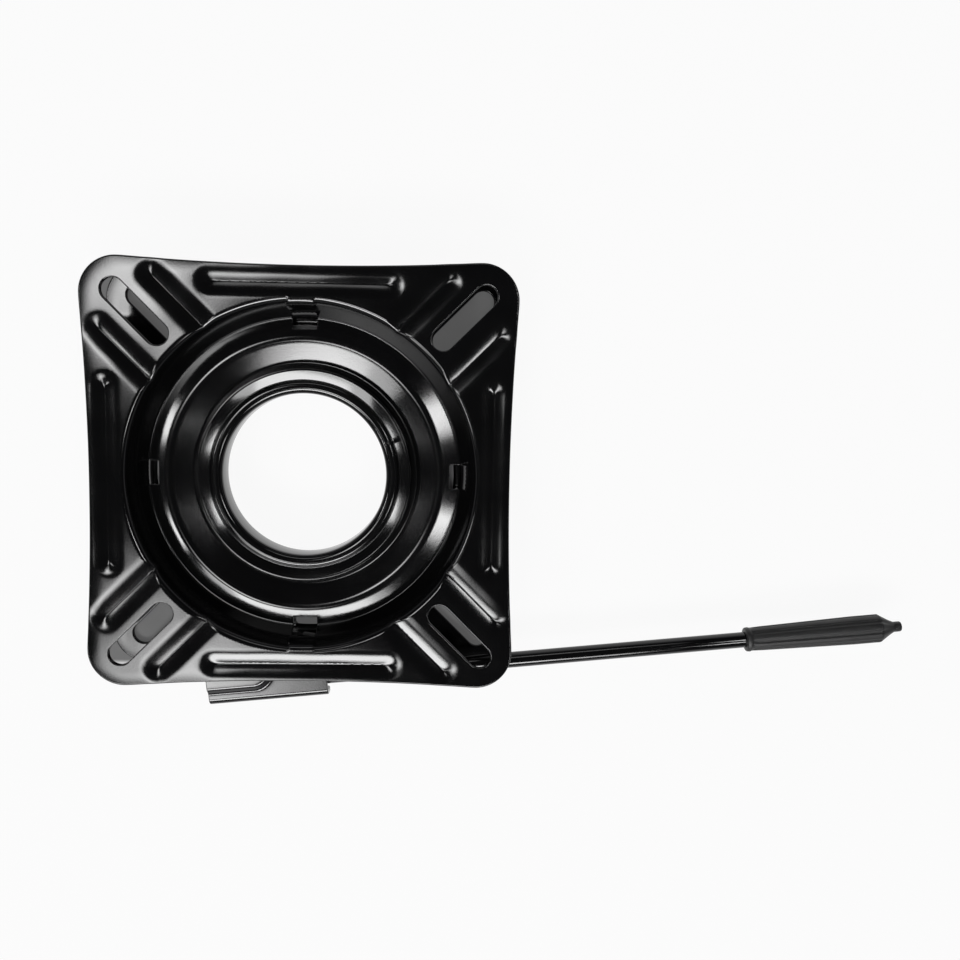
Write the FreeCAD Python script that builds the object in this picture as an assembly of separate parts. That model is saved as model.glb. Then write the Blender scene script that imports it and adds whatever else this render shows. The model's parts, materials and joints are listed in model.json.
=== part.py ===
"""Swivel seat base: two pressed plates on a ball race, held by a rolled eyelet, with a swinging lock lever.

Millimetres. The origin is on the swivel axis, half-way between the two plates. +Z is up, and +X is the way
that the lever's rod points.
"""
import FreeCAD
import Part
import math
import os

Vector = FreeCAD.Vector
Z_AXIS = Vector(0, 0, 1)

# Plate outline
OVERALL_HEIGHT = 36.0
PLATE_HALF_WIDTH = 89.2
SIDE_SAG = 2.6
CORNER_RADIUS = 15.5
SHEET = 2.5

# Fixing slots on the diagonals, each with its outer end this far from the plate's corner
SLOT_CORNER_MARGIN = 8.4
SLOT_LENGTH = 34.0
SLOT_WIDTH = 9.5

# Pressed V ribs
RIB_DEPTH = 2.8
RIB_END_RUN = 4.2
SIDE_RIB_EDGE = 9.7
SIDE_RIB_CREASE = 73.0
SIDE_RIB_HALF_WIDTH = 4.8
CORNER_RIB_OFFSET = 15.3
CORNER_RIB_EDGE = 19.4
CORNER_RIB_HALF_WIDTH = 5.5

# Recess, ball race and rim of each plate, from the edge inwards
FLANGE_WIDTH = 16.4
RECESS_EDGE_FILLET = 2.5
RACE_INSET = 15.0
RIM_REACH = 16.8
PLATE_GAP = 1.0
BALL_DIAMETER = 7.0
BALL_COUNT = 10
RACE_CLEARANCE = 0.3
OUTER_CONE_ANGLE = 14.3
INNER_CONE_ANGLE = 19.5
VALLEY_RISE = 1.4
CAGE_WIDTH = 11.0
CAGE_THICKNESS = 1.8

# Lock windows in the recess wall
WINDOW_WIDTH = 10.2
WINDOW_INSET = 3.7
WINDOW_TOP = 10.0

# Hub eyelet and its slide rings
HUB_BORE_INSET = 6.5
HUB_OVERLAP = 4.3
HUB_SHEET = 2.0
HUB_TOP = 8.1
HUB_CONE_ANGLE = 25.0
HUB_LAND = 1.2
HUB_LIP_TOP = 7.6
HUB_LIP_WIDTH = 5.2
HUB_LIP_RADIUS = 2.6
HUB_LIP_EDGE_RADIUS = 1.4
SLIDE_CLEARANCE = 0.3
SLIDE_RING_INSET = 0.3
MIDDLE_RING_THICKNESS = 0.8

# Lever: pivot place, rest direction and the turn that brings the tooth home
PIVOT_X = -36.0
PIVOT_EDGE = 12.2
LEVER_ANGLE = 5.57
LOCK_TURN = 8.0

# Lever arm, pressed from sheet
ARM_SHEET = 2.0
ARM_LEFT = -9.2
ARM_RIGHT = 43.3
ARM_OUTER_EDGE = 26.1
ARM_WIDTH = 15.0
ARM_FLANGE_DEPTH = 7.0
ARM_BEND_RADIUS = 3.0
ARM_TOP = 0.5
PAD_RISE = 2.0
PAD_EDGE = 5.4
PAD_SLOPE_RUN = 2.2
PAD_RIGHT = 18.0
PAD_REACH = 9.0
PAD_CORNER_RADIUS = 8.0

# Lever rod and grip
ROD_DIAMETER = 7.0
ROD_OFFSET = 18.5
ROD_START = 14.0
ROD_END = 288.0
GRIP_START = 231.3
GRIP_LENGTH = 71.4
GRIP_START_DIAMETER = 10.3
GRIP_END_DIAMETER = 12.7
GRIP_COLLAR_LENGTH = 2.0
GRIP_COLLAR_RISE = 0.3
GRIP_TIP_LENGTH = 6.4
GRIP_NUB_DIAMETER = 4.6
GRIP_NUB_LENGTH = 3.6
FLUTE_COUNT = 8
FLUTE_RADIUS = 1.3
FLUTE_DEPTH = 0.55

# Lock tooth
TOOTH_WIDTH = 7.0
TOOTH_HEIGHT = 6.0
TOOTH_LENGTH = 12.6
TOOTH_TIP_INSET = 3.9
TOOTH_SEAT_DEPTH = 6.0
TOOTH_CHAMFER = 1.0
EAR_WIDTH = 14.0
EAR_LENGTH = 18.0

# Pivot post and its washers
POST_DIAMETER = 13.0
JOURNAL_DIAMETER = 8.0
JOURNAL_CLEARANCE = 0.3
PIVOT_HEAD_DIAMETER = 14.0
PIVOT_HEAD_HEIGHT = 2.4
PIVOT_HEAD_CHAMFER = 1.0
THRUST_WASHER_DIAMETER = 15.0
THRUST_WASHER_THICKNESS = 1.0
SPRING_WASHER_DIAMETER = 13.4
SPRING_WASHER_THICKNESS = 0.6
SPRING_WASHER_RISE = 0.5

# Places worked out from the sizes above
HALF_HEIGHT = OVERALL_HEIGHT / 2
CORNER_REACH = (PLATE_HALF_WIDTH - CORNER_RADIUS) * math.sqrt(2) + CORNER_RADIUS
SLOT_CENTRE = CORNER_REACH - SLOT_CORNER_MARGIN - SLOT_LENGTH / 2
SIDE_RIB_CENTRE = PLATE_HALF_WIDTH - SIDE_RIB_EDGE
CORNER_RIB_END = CORNER_REACH - CORNER_RIB_EDGE
RECESS_RADIUS = PLATE_HALF_WIDTH - FLANGE_WIDTH
RACE_RADIUS = RECESS_RADIUS - RACE_INSET
RIM_RADIUS = RACE_RADIUS - RIM_REACH
HUB_BORE_RADIUS = RIM_RADIUS - HUB_BORE_INSET
HUB_FLANGE_RADIUS = RIM_RADIUS + HUB_OVERLAP
HUB_LAND_START = HUB_FLANGE_RADIUS - HUB_LAND
WINDOW_INNER_RADIUS = RACE_RADIUS + WINDOW_INSET
TOOTH_TIP_RADIUS = WINDOW_INNER_RADIUS + TOOTH_TIP_INSET
PIVOT_Y = PIVOT_EDGE - PLATE_HALF_WIDTH
BALL_RADIUS = BALL_DIAMETER / 2
RACE_GROOVE = BALL_RADIUS + RACE_CLEARANCE
RIM_INNER_FACE = PLATE_GAP / 2
RIM_OUTER_FACE = RIM_INNER_FACE + SHEET
FLANGE_JOIN = RECESS_RADIUS + SHEET + RECESS_EDGE_FILLET
ROD_RADIUS = ROD_DIAMETER / 2
JOURNAL_RADIUS = JOURNAL_DIAMETER / 2
ARM_UNDERSIDE = ARM_TOP - ARM_SHEET
ROD_HEIGHT = ARM_UNDERSIDE - ROD_RADIUS
PAD_TOP = ARM_TOP + PAD_RISE
PAD_UNDERSIDE = PAD_TOP - ARM_SHEET
CUT_MARGIN = 1.0
RIB_BITE = 0.2


def sine(degrees):
    return math.sin(math.radians(degrees))


def cosine(degrees):
    return math.cos(math.radians(degrees))


def tangent(degrees):
    return math.tan(math.radians(degrees))


def rounded_wire(corners, place):
    """Closed wire through corners of (a, b) or (a, b, fillet), each put in space by place(a, b)."""
    count = len(corners)
    stops = []
    for index, corner in enumerate(corners):
        here = Vector(corner[0], corner[1], 0)
        fillet = corner[2] if len(corner) > 2 else 0
        if not fillet:
            stops.append((here,))
            continue
        before = corners[index - 1]
        after = corners[(index + 1) % count]
        back = (Vector(before[0], before[1], 0) - here).normalize()
        forward = (Vector(after[0], after[1], 0) - here).normalize()
        half_turn = back.getAngle(forward) / 2
        reach = fillet / math.tan(half_turn)
        middle = (back + forward).normalize()
        inset = fillet / math.sin(half_turn) - fillet
        stops.append((here + back * reach, here + middle * inset, here + forward * reach))
    edges = []
    for index, stop in enumerate(stops):
        points = [place(p.x, p.y) for p in stop]
        if len(points) == 3:
            edges.append(Part.Arc(*points).toShape())
        following = stops[(index + 1) % count][0]
        edges.append(Part.LineSegment(points[-1], place(following.x, following.y)).toShape())
    return Part.Wire(edges)


def turned(corners):
    """Solid of revolution about Z from corners of (radius, height) or (radius, height, fillet)."""
    wire = rounded_wire(corners, lambda r, z: Vector(r, 0, z))
    return Part.Face(wire).revolve(Vector(0, 0, 0), Z_AXIS, 360)


def slab(corners, low, high):
    """Plate with a plan outline of (x, y) or (x, y, fillet), from one height to another."""
    wire = rounded_wire(corners, lambda x, y: Vector(x, y, low))
    return Part.Face(wire).extrude(Vector(0, 0, high - low))


def ring(inner, outer, low, high):
    return turned([(inner, low), (outer, low), (outer, high), (inner, high)])


def box(x_low, x_high, y_low, y_high, z_low, z_high):
    return Part.makeBox(x_high - x_low, y_high - y_low, z_high - z_low, Vector(x_low, y_low, z_low))


def spun(shape, degrees, centre=Vector(0, 0, 0)):
    copy = shape.copy()
    copy.rotate(centre, Z_AXIS, degrees)
    return copy


def moved(shape, x, y, z):
    copy = shape.copy()
    copy.translate(Vector(x, y, z))
    return copy


def race_corner(groove, face):
    """Valley, crest and rim foot of a race surface whose round is struck from the ball's centre."""
    half_sum = (OUTER_CONE_ANGLE + INNER_CONE_ANGLE) / 2
    half_difference = (OUTER_CONE_ANGLE - INNER_CONE_ANGLE) / 2
    apex = groove / cosine(half_sum)
    valley = face + VALLEY_RISE
    outer = RACE_RADIUS + (groove - valley * cosine(OUTER_CONE_ANGLE)) / sine(OUTER_CONE_ANGLE)
    inner = RACE_RADIUS - (groove - face * cosine(INNER_CONE_ANGLE)) / sine(INNER_CONE_ANGLE)
    crest = (RACE_RADIUS + apex * sine(half_difference), apex * cosine(half_difference), groove)
    return (outer, valley), crest, (inner, face)


def wall_radius(height, across=0.0):
    """Radius of the recess wall at a height, and the same wall across its thickness."""
    foot = race_corner(RACE_GROOVE + SHEET, RIM_OUTER_FACE)[0]
    run = (RECESS_RADIUS - foot[0]) / (HALF_HEIGHT - foot[1])
    return foot[0] + (height - foot[1]) * run + across * math.hypot(1, run)


def dish():
    """Pressed centre of a plate: wall, valley, race crest and rim."""
    outer_foot, crest, inner_foot = race_corner(RACE_GROOVE + SHEET, RIM_OUTER_FACE)
    under_outer, under_crest, under_inner = race_corner(RACE_GROOVE, RIM_INNER_FACE)
    under_flange = HALF_HEIGHT - SHEET
    return turned([
        (FLANGE_JOIN, HALF_HEIGHT),
        (RECESS_RADIUS, HALF_HEIGHT, RECESS_EDGE_FILLET),
        outer_foot,
        crest,
        inner_foot,
        (RIM_RADIUS, RIM_OUTER_FACE),
        (RIM_RADIUS, RIM_INNER_FACE),
        under_inner,
        under_crest,
        under_outer,
        (wall_radius(under_outer[1], SHEET), under_outer[1]),
        (wall_radius(under_flange, SHEET), under_flange),
        (FLANGE_JOIN, under_flange),
    ])


def flange():
    """Square flange with hollowed sides and round corners, open in the middle for the dish."""
    half = PLATE_HALF_WIDTH
    straight = half - CORNER_RADIUS
    diagonal = straight + CORNER_RADIUS * cosine(45)
    low = HALF_HEIGHT - SHEET
    edges = []
    for quarter in range(4):
        side = Part.Arc(Vector(straight, half, low), Vector(0, half - SIDE_SAG, low),
                        Vector(-straight, half, low))
        corner = Part.Arc(Vector(half, straight, low), Vector(diagonal, diagonal, low),
                          Vector(straight, half, low))
        for arc in (corner, side):
            edges.append(spun(arc.toShape(), 90 * quarter))
    plate = Part.Face(Part.Wire(edges)).extrude(Vector(0, 0, SHEET))
    return plate.cut(Part.makeCylinder(FLANGE_JOIN, SHEET, Vector(0, 0, low)))


def rib_form(crease_start, crease_end, half_width, crease_height, mouth_height):
    """Boat shape with a crease along X and a mouth above it that comes to a point at both ends."""
    grow = (mouth_height - crease_height) / RIB_DEPTH
    side = half_width * grow
    run = RIB_END_RUN * grow
    first = Vector(crease_start, 0, crease_height)
    last = Vector(crease_end, 0, crease_height)
    mouth = [Vector(x, y, mouth_height) for x, y in (
        (crease_start - run, 0), (crease_start, -side), (crease_end, -side),
        (crease_end + run, 0), (crease_end, side), (crease_start, side))]
    rings = [mouth, [mouth[1], mouth[2], last, first], [mouth[4], mouth[5], first, last],
             [mouth[2], mouth[3], last], [mouth[3], mouth[4], last],
             [mouth[5], mouth[0], first], [mouth[0], mouth[1], first]]
    faces = [Part.Face(Part.makePolygon(corners + corners[:1])) for corners in rings]
    solid = Part.makeSolid(Part.makeShell(faces))
    if solid.Volume < 0:
        solid.reverse()
    return solid


def rib_groove(crease_start, crease_end, half_width):
    """Open side of a V rib, carried on past the sheet's face so that it cuts cleanly."""
    return rib_form(crease_start, crease_end, half_width, HALF_HEIGHT - RIB_DEPTH, HALF_HEIGHT + CUT_MARGIN)


def rib_ridge(crease_start, crease_end, half_width):
    """Closed side of the same rib, one sheet thickness away from the groove, reaching into the flange."""
    slant = math.hypot(RIB_DEPTH, half_width) / half_width
    crease_height = HALF_HEIGHT - RIB_DEPTH - SHEET * slant
    return rib_form(crease_start, crease_end, half_width, crease_height, HALF_HEIGHT - SHEET + RIB_BITE)


def obround(length, width, low, high):
    half = (length - width) / 2
    middle = box(-half, half, -width / 2, width / 2, low, high)
    ends = [Part.makeCylinder(width / 2, high - low, Vector(side * half, 0, low)) for side in (-1, 1)]
    return middle.fuse(ends).removeSplitter()


def recess_space():
    """Space inside the recess wall, above the race."""
    low = RACE_GROOVE + SHEET + CUT_MARGIN
    high = HALF_HEIGHT + CUT_MARGIN
    return turned([(RIM_RADIUS, low), (wall_radius(low), low),
                   (wall_radius(high), high), (RIM_RADIUS, high)])


def rib_pairs(side_quarters):
    """Each rib's closed and open side, in place: two beside every slot and one along each side named."""
    inner_end = wall_radius(HALF_HEIGHT) - RIB_END_RUN - CORNER_RIB_HALF_WIDTH
    half_crease = SIDE_RIB_CREASE / 2
    pairs = []
    for quarter in range(4):
        for side in (-1, 1):
            sizes = (inner_end, CORNER_RIB_END, CORNER_RIB_HALF_WIDTH)
            pairs.append([spun(moved(make(*sizes), 0, side * CORNER_RIB_OFFSET, 0), 45 + 90 * quarter)
                          for make in (rib_ridge, rib_groove)])
        if quarter in side_quarters:
            sizes = (-half_crease, half_crease, SIDE_RIB_HALF_WIDTH)
            pairs.append([spun(moved(make(*sizes), 0, SIDE_RIB_CENTRE, 0), 90 * quarter)
                          for make in (rib_ridge, rib_groove)])
    return pairs


def pressed_plate(side_quarters):
    """Flange, dish, ribs and four slots, in the upper plate's place."""
    pairs = rib_pairs(side_quarters)
    plate = flange().fuse([dish()] + [ridge for ridge, groove in pairs])
    cutters = [groove for ridge, groove in pairs]
    cutters.append(recess_space())
    low = HALF_HEIGHT - 2 * SHEET - RIB_DEPTH
    slot = moved(obround(SLOT_LENGTH, SLOT_WIDTH, low, HALF_HEIGHT + CUT_MARGIN), SLOT_CENTRE, 0, 0)
    cutters += [spun(slot, 45 + 90 * quarter) for quarter in range(4)]
    return plate.cut(cutters).removeSplitter()


def lock_window(quarter):
    """Opening for the tooth through an upper plate's recess wall, in quarters round from the back."""
    half = WINDOW_WIDTH / 2
    window = box(-half, half, WINDOW_INNER_RADIUS, FLANGE_JOIN, RIM_INNER_FACE - CUT_MARGIN, WINDOW_TOP)
    return spun(window, 90 * quarter)


def seat_plate():
    """Upper plate, with a lock window at each quarter of the recess wall."""
    return pressed_plate(side_quarters=(0, 1, 2, 3)).cut([lock_window(quarter) for quarter in range(4)])


def floor_plate():
    """Same pressing upside down, plain along the lever's side, with one lock window and the pivot's hole."""
    pressing = pressed_plate(side_quarters=(0, 1, 3)).cut(lock_window(2))
    plate = pressing.mirror(Vector(0, 0, 0), Z_AXIS)
    hole = Part.makeCylinder(JOURNAL_RADIUS, SHEET + 2 * CUT_MARGIN,
                             Vector(PIVOT_X, PIVOT_Y, -HALF_HEIGHT - CUT_MARGIN))
    return plate.cut(hole)


def hub_face(radius):
    """Height of the eyelet's cone at a radius."""
    return HUB_TOP - (HUB_LAND_START - radius) * tangent(HUB_CONE_ANGLE)


def hub_underside(radius):
    """Height of the hidden side of the cone at a radius."""
    return hub_face(radius) - HUB_SHEET / cosine(HUB_CONE_ANGLE)


def hub_eyelet():
    """Tube spread at both ends into cones over the plates' rims, each with its lip rolled back onto it."""
    lip = HUB_BORE_RADIUS + HUB_LIP_WIDTH
    tube = HUB_BORE_RADIUS + HUB_SHEET
    under = HUB_TOP - HUB_SHEET
    under_land = HUB_LAND_START + (under - hub_underside(HUB_LAND_START)) / tangent(HUB_CONE_ANGLE)
    upper = [(HUB_BORE_RADIUS, HUB_LIP_TOP, HUB_LIP_RADIUS), (lip, HUB_LIP_TOP, HUB_LIP_EDGE_RADIUS),
             (lip, hub_face(lip)), (HUB_LAND_START, HUB_TOP), (HUB_FLANGE_RADIUS, HUB_TOP),
             (HUB_FLANGE_RADIUS, under), (under_land, under), (tube, hub_underside(tube))]
    lower = [(corner[0], -corner[1]) + corner[2:] for corner in reversed(upper)]
    return turned(upper + lower)


def upper_slide_ring():
    """Wedge ring on the seat plate's rim, under the eyelet's cone."""
    inner = RIM_RADIUS + SLIDE_RING_INSET
    outer = HUB_LAND_START
    clearance = SLIDE_CLEARANCE / cosine(HUB_CONE_ANGLE)
    return turned([(inner, RIM_OUTER_FACE), (outer, RIM_OUTER_FACE),
                   (outer, hub_underside(outer) - clearance), (inner, hub_underside(inner) - clearance)])


def lower_slide_ring():
    return upper_slide_ring().mirror(Vector(0, 0, 0), Z_AXIS)


def middle_slide_ring():
    inner = RIM_RADIUS + SLIDE_RING_INSET
    outer = race_corner(RACE_GROOVE, RIM_INNER_FACE)[2][0] - SLIDE_RING_INSET
    return ring(inner, outer, -RIM_INNER_FACE, MIDDLE_RING_THICKNESS - RIM_INNER_FACE)


def ball_places():
    angles = [360 / BALL_COUNT * k for k in range(BALL_COUNT)]
    return [Vector(RACE_RADIUS * cosine(angle), RACE_RADIUS * sine(angle), 0) for angle in angles]


def ball_cage():
    """Flat ring with a round pocket for each ball."""
    half = CAGE_THICKNESS / 2
    blank = ring(RACE_RADIUS - CAGE_WIDTH / 2, RACE_RADIUS + CAGE_WIDTH / 2, -half, half)
    pocket = BALL_RADIUS + RACE_CLEARANCE
    bottom = Vector(0, 0, half)
    return blank.cut([Part.makeCylinder(pocket, CAGE_THICKNESS, place - bottom) for place in ball_places()])


def bearing_balls():
    return Part.makeCompound([Part.makeSphere(BALL_RADIUS, place) for place in ball_places()])


def on_lever(shape):
    """From the lever's own axes, with the rod along X and the pivot at the origin, to the rest pose."""
    return moved(spun(shape, LEVER_ANGLE), PIVOT_X, PIVOT_Y, 0)


def from_locked(shape):
    """From the locked pose back to the rest pose."""
    return spun(shape, -LOCK_TURN, Vector(PIVOT_X, PIVOT_Y, 0))


def along(corners, start, end):
    """Section of (across, height) or (across, height, fillet), carried along X."""
    wire = rounded_wire(corners, lambda across, z: Vector(start, across, z))
    return Part.Face(wire).extrude(Vector(end - start, 0, 0))


def arm_section(inner_end):
    """Lower level of the arm: sheet over the rod, turned down along its outer edge."""
    outer = -ARM_OUTER_EDGE
    low = ARM_UNDERSIDE - ARM_FLANGE_DEPTH
    inside = ARM_BEND_RADIUS - ARM_SHEET
    return [(outer, low), (outer, ARM_TOP, ARM_BEND_RADIUS), (inner_end, ARM_TOP),
            (inner_end, ARM_UNDERSIDE), (outer + ARM_SHEET, ARM_UNDERSIDE, inside), (outer + ARM_SHEET, low)]


def lever_arm():
    """Flanged arm with a raised pad round the pivot and an ear behind the tooth."""
    outer = -ARM_OUTER_EDGE
    step = outer + PAD_EDGE
    shift = ARM_SHEET * math.tan(math.atan2(PAD_RISE, PAD_SLOPE_RUN) / 2)
    strip = along(arm_section(step + shift), ARM_LEFT, PAD_RIGHT + PAD_SLOPE_RUN)
    rise = along([(step, ARM_TOP), (step + PAD_SLOPE_RUN, PAD_TOP), (PAD_REACH, PAD_TOP),
                  (PAD_REACH, PAD_UNDERSIDE), (step + PAD_SLOPE_RUN + shift, PAD_UNDERSIDE),
                  (step + shift, ARM_UNDERSIDE), (step, ARM_UNDERSIDE)], ARM_LEFT, PAD_RIGHT)
    pad_plan = slab([(ARM_LEFT, outer), (PAD_RIGHT, outer), (PAD_RIGHT, PAD_REACH, PAD_CORNER_RADIUS),
                     (ARM_LEFT, PAD_REACH, PAD_CORNER_RADIUS)], ARM_UNDERSIDE, PAD_TOP)
    bar = along(arm_section(outer + ARM_WIDTH), PAD_RIGHT + PAD_SLOPE_RUN, ARM_RIGHT)
    ramp_wire = rounded_wire([(PAD_RIGHT, PAD_TOP), (PAD_RIGHT + PAD_SLOPE_RUN, ARM_TOP),
                              (PAD_RIGHT + PAD_SLOPE_RUN, ARM_UNDERSIDE), (PAD_RIGHT, PAD_UNDERSIDE)],
                             lambda along_rod, z: Vector(along_rod, step + shift, z))
    ramp = Part.Face(ramp_wire).extrude(Vector(0, ARM_WIDTH - PAD_EDGE - shift, 0))
    ear_end = -(TOOTH_TIP_RADIUS + TOOTH_LENGTH - TOOTH_SEAT_DEPTH)
    ear = box(-EAR_WIDTH / 2, EAR_WIDTH / 2, ear_end - EAR_LENGTH, ear_end, ARM_UNDERSIDE, ARM_TOP)
    hole = Part.makeCylinder(JOURNAL_RADIUS + JOURNAL_CLEARANCE, PAD_TOP - ARM_UNDERSIDE,
                             Vector(0, 0, ARM_UNDERSIDE))
    sheet = strip.fuse([rise.common(pad_plan), bar, ramp]).cut(hole)
    return on_lever(sheet).fuse(from_locked(ear)).removeSplitter()


def lock_tooth():
    """Block that straddles the arm's ear and enters the windows. Its sides are radial when locked."""
    half = TOOTH_WIDTH / 2
    tip = -TOOTH_TIP_RADIUS
    back = tip - TOOTH_LENGTH
    plan = [(-half, back), (half, back), (half, tip - TOOTH_CHAMFER), (half - TOOTH_CHAMFER, tip),
            (TOOTH_CHAMFER - half, tip), (-half, tip - TOOTH_CHAMFER)]
    block = slab(plan, -TOOTH_HEIGHT / 2, TOOTH_HEIGHT / 2)
    seat = box(-half, half, back, back + TOOTH_SEAT_DEPTH, ARM_UNDERSIDE, ARM_TOP)
    return from_locked(block.cut(seat))


def lever_rod():
    start = Vector(ROD_START, -ROD_OFFSET, ROD_HEIGHT)
    return on_lever(Part.makeCylinder(ROD_RADIUS, ROD_END - ROD_START, start, Vector(1, 0, 0)))


def lever_grip():
    """Fluted sleeve on the rod's end, with a collar, a cone and a small nub."""
    start_radius = GRIP_START_DIAMETER / 2
    end_radius = GRIP_END_DIAMETER / 2
    collar = start_radius + GRIP_COLLAR_RISE
    nub = GRIP_NUB_DIAMETER / 2
    shoulder = GRIP_LENGTH - GRIP_TIP_LENGTH - GRIP_NUB_LENGTH
    socket = ROD_END - GRIP_START
    body = turned([(0, socket), (ROD_RADIUS, socket), (ROD_RADIUS, 0), (collar, 0),
                   (collar, GRIP_COLLAR_LENGTH), (start_radius, GRIP_COLLAR_LENGTH), (end_radius, shoulder),
                   (nub, GRIP_LENGTH - GRIP_NUB_LENGTH), (nub, GRIP_LENGTH), (0, GRIP_LENGTH)])
    lean = math.degrees(math.atan2(end_radius - start_radius, shoulder - GRIP_COLLAR_LENGTH))
    axis_radius = start_radius + FLUTE_RADIUS - FLUTE_DEPTH
    flute = Part.makeCylinder(FLUTE_RADIUS, GRIP_LENGTH, Vector(axis_radius, 0, GRIP_COLLAR_LENGTH),
                              Vector(sine(lean), 0, cosine(lean)))
    flutes = [spun(flute, 360 / FLUTE_COUNT * k) for k in range(FLUTE_COUNT)]
    grip = body.cut(flutes)
    grip.rotate(Vector(0, 0, 0), Vector(0, 1, 0), 90)
    return on_lever(moved(grip, GRIP_START, -ROD_OFFSET, ROD_HEIGHT))


def at_pivot(shape):
    return moved(shape, PIVOT_X, PIVOT_Y, 0)


def washer_seat():
    return PAD_UNDERSIDE - THRUST_WASHER_THICKNESS


def head_seat():
    return PAD_TOP + SPRING_WASHER_THICKNESS + SPRING_WASHER_RISE


def pivot_post():
    """Shouldered post riveted into the floor plate, with its head formed over the arm."""
    post = POST_DIAMETER / 2
    head = PIVOT_HEAD_DIAMETER / 2
    top = head_seat() + PIVOT_HEAD_HEIGHT
    return at_pivot(turned([
        (0, -HALF_HEIGHT), (JOURNAL_RADIUS, -HALF_HEIGHT), (JOURNAL_RADIUS, SHEET - HALF_HEIGHT),
        (post, SHEET - HALF_HEIGHT), (post, washer_seat()), (JOURNAL_RADIUS, washer_seat()),
        (JOURNAL_RADIUS, head_seat()), (head, head_seat()), (head, top - PIVOT_HEAD_CHAMFER),
        (head - PIVOT_HEAD_CHAMFER, top), (0, top)]))


def thrust_washer():
    inner = JOURNAL_RADIUS + JOURNAL_CLEARANCE
    return at_pivot(ring(inner, THRUST_WASHER_DIAMETER / 2, washer_seat(), PAD_UNDERSIDE))


def spring_washer():
    """Dished washer that keeps the lever where it is put."""
    inner = JOURNAL_RADIUS + JOURNAL_CLEARANCE
    outer = SPRING_WASHER_DIAMETER / 2
    top = head_seat()
    return at_pivot(turned([(inner, top - SPRING_WASHER_THICKNESS), (outer, PAD_TOP),
                            (outer, PAD_TOP + SPRING_WASHER_THICKNESS), (inner, top)]))


PIECES = [seat_plate, floor_plate, hub_eyelet, upper_slide_ring, middle_slide_ring, lower_slide_ring,
          ball_cage, bearing_balls, lever_arm, lock_tooth, lever_rod, lever_grip, pivot_post, thrust_washer,
          spring_washer]

os.makedirs("parts", exist_ok=True)
for piece in PIECES:
    shape = piece()
    shape.exportStep("parts/" + piece.__name__ + ".step")
    print(piece.__name__, "solids", len(shape.Solids), "valid", shape.isValid())
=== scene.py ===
import bmesh
import bpy
import json
import math
import numpy as np
from mathutils import Matrix, Vector
from mathutils.geometry import delaunay_2d_cdt


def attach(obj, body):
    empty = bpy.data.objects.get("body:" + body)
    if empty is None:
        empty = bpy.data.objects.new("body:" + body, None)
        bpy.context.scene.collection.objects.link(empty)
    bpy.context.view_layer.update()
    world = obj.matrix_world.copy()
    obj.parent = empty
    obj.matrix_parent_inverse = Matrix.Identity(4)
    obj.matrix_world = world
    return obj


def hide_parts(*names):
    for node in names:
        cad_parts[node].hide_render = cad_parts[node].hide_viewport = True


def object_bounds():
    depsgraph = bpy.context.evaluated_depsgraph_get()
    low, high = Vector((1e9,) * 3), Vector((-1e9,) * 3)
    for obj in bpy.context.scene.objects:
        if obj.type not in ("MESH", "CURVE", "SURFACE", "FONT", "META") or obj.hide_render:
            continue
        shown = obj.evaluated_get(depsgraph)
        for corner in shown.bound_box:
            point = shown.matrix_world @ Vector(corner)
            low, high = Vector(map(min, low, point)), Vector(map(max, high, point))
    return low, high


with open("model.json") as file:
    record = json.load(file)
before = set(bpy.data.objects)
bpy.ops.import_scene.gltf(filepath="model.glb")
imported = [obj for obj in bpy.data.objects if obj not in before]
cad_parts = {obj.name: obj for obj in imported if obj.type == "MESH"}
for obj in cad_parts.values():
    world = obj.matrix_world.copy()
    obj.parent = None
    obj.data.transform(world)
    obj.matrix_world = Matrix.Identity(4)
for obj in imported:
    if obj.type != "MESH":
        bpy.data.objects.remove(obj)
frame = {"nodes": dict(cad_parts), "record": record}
cad_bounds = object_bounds()
scene = bpy.context.scene

# Millimetres, as in the part's source. Meshes are scaled to metres when they are made.
MM = 0.001
HALF_HEIGHT = 18.0
SHEET = 2.5
HALF_WIDTH = 89.2
SIDE_SAG = 2.6
CORNER_RADIUS = 15.5
OUTLINE_PASSES = 6
SLOT_CENTRE = 94.33
SLOT_LENGTH = 34.0
SLOT_WIDTH = 9.5

# Profile of the pressed centre, as radius, height and fillet
RIM_RADIUS = 41.0
VALLEY_RADIUS = 66.04
RECESS_RADIUS = 72.8
DISH_PROFILE = [
    (RIM_RADIUS - 2.0, 3.0, 0.0),
    (47.4, 3.0, 1.8),
    (57.5, 6.58, 6.0),
    (VALLEY_RADIUS, 4.4, 0.7),
    (RECESS_RADIUS, HALF_HEIGHT, 2.8),
    (140.0, HALF_HEIGHT, 0.0),
]
STRAIGHT_HALF_TURN = 89.9

# Shallow step in the top of the recess wall, at the front and the back
JOG_DEPTH = 1.1
JOG_HALF_WIDTH = 5.4
JOG_BLEND = 0.7
JOG_RISE = (69.5, 71.5)

# Pressed ribs
RIB_END_RUN = 6.5
RIB_END_SOFTNESS = 1.4
RIB_CREASE_ROUND = 0.2
RIB_SHOULDER = 0.15
RIB_POWER = 1.7
SIDE_RIB_CENTRE = 79.5
SIDE_RIB_HALF_LENGTH = 36.5
SIDE_RIB_HALF_WIDTH = 6.6
SIDE_RIB_ANGLE = 20.0
CORNER_RIB_OFFSET = 15.3
CORNER_RIB_START = 63.1
CORNER_RIB_END = 100.3
CORNER_RIB_HALF_WIDTH = 7.4
CORNER_RIB_ANGLE = 17.0
PRESSING_BLEND = 3.0

# Edges of the sheet
EDGE_ROUND = 0.8
SLOT_ROUND = 0.6
WINDOW_ROUND = 0.35
EDGE_DROOP = 0.2
EDGE_DROOP_WIDTH = 6.0

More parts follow.
